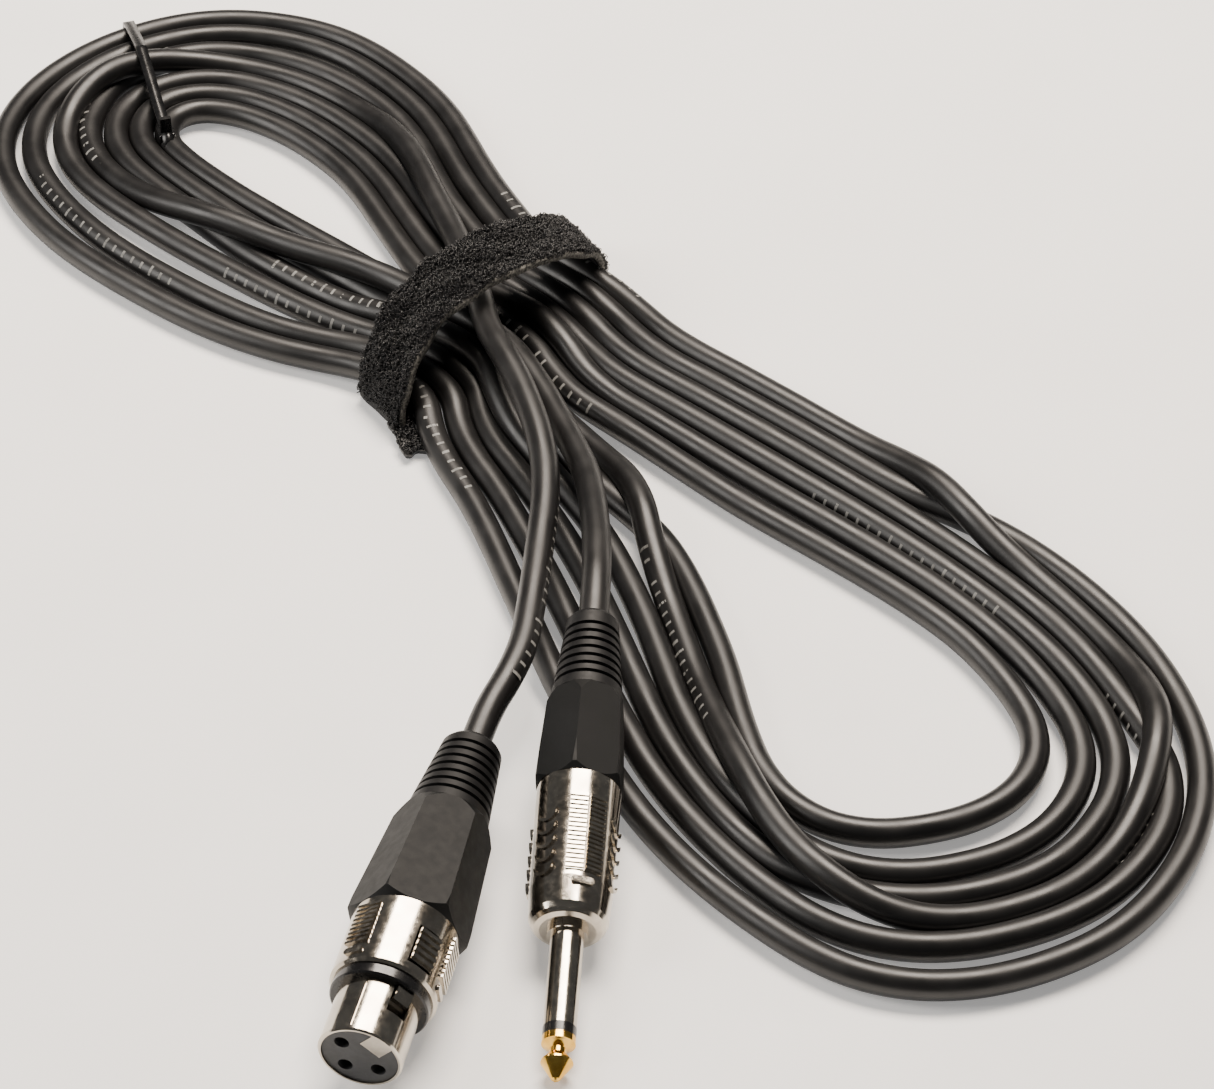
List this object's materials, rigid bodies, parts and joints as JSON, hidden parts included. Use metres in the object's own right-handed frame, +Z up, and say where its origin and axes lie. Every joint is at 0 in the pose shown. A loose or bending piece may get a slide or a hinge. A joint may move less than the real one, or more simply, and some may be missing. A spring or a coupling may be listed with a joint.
{
  "type": "microphone cable coil",
  "caption": "Black microphone cable wound as a two-lobed hank in a hook-and-loop strap, with a female three-pole connector on one end and a 6.35 mm jack plug on the other.",
  "frame": {"origin": "middle of the object's bounding box, on the surface it lies on", "axes": "+X along the hank from its small lobe to its large one, +Z up; the connectors lie on the -Y side"},
  "size_m": [0.371, 0.1948, 0.0237],
  "materials": {
    "jacket": "satin",
    "hook_loop": "matte loop pile",
    "nylon": "smooth",
    "nickel": "bright, slightly grainy",
    "ring_plastic": "smooth",
    "insert_plastic": "fine matt",
    "contact_metal": "plated",
    "steel": "plain",
    "chuck_plastic": "matt",
    "boot_plastic": "fine spark-eroded grain",
    "relief_rubber": "satin",
    "wire_red": "smooth",
    "wire_white": "smooth",
    "wire_copper": "bare strands",
    "gilt": "polished gold flash",
    "washer_fibre": "fibre",
    "liner_plastic": "matt"
  },
  "bodies": {
    "coil": {"cable_hank": "jacket", "cable_strap": "hook_loop", "jack_barrel": "nickel", "jack_bushing": "boot_plastic", "jack_cable_end": "jacket", "jack_core": "wire_white", "jack_ground_clamp": "steel", "jack_insulator": "ring_plastic", "jack_lead": "jacket", "jack_liner": "liner_plastic", "jack_sleeve": "nickel", "jack_strain_relief": "relief_rubber", "jack_tip": "gilt", "jack_tip_lug": "contact_metal", "jack_washer": "washer_fibre", "tie_band": "nylon", "tie_head": "nylon", "xlr_bushing": "boot_plastic", "xlr_cable_end": "jacket", "xlr_chuck": "chuck_plastic", "xlr_contact_1": "contact_metal", "xlr_contact_2": "contact_metal", "xlr_contact_3": "contact_metal", "xlr_core_red": "wire_red", "xlr_core_white": "wire_white", "xlr_drain_wire": "wire_copper", "xlr_insert": "insert_plastic", "xlr_latch_pin": "steel", "xlr_latch_spring": "steel", "xlr_lead": "jacket", "xlr_shell": "nickel", "xlr_shoulder_ring": "ring_plastic", "xlr_strain_relief": "relief_rubber"},
    "latch": {"xlr_latch": "nickel"}
  },
  "joints": [
    {"name": "latch_press", "type": "hinge", "parent": "coil", "child": "latch", "pos_m": [0.11879, -0.07008, 0.0152], "axis": [0.543, 0.508, -0.6687], "range_deg": [0, 5], "stiffness_Nm_per_rad": 0.05, "springref_deg": -5.73, "deforming": ["xlr_latch_spring"]}
  ]
}
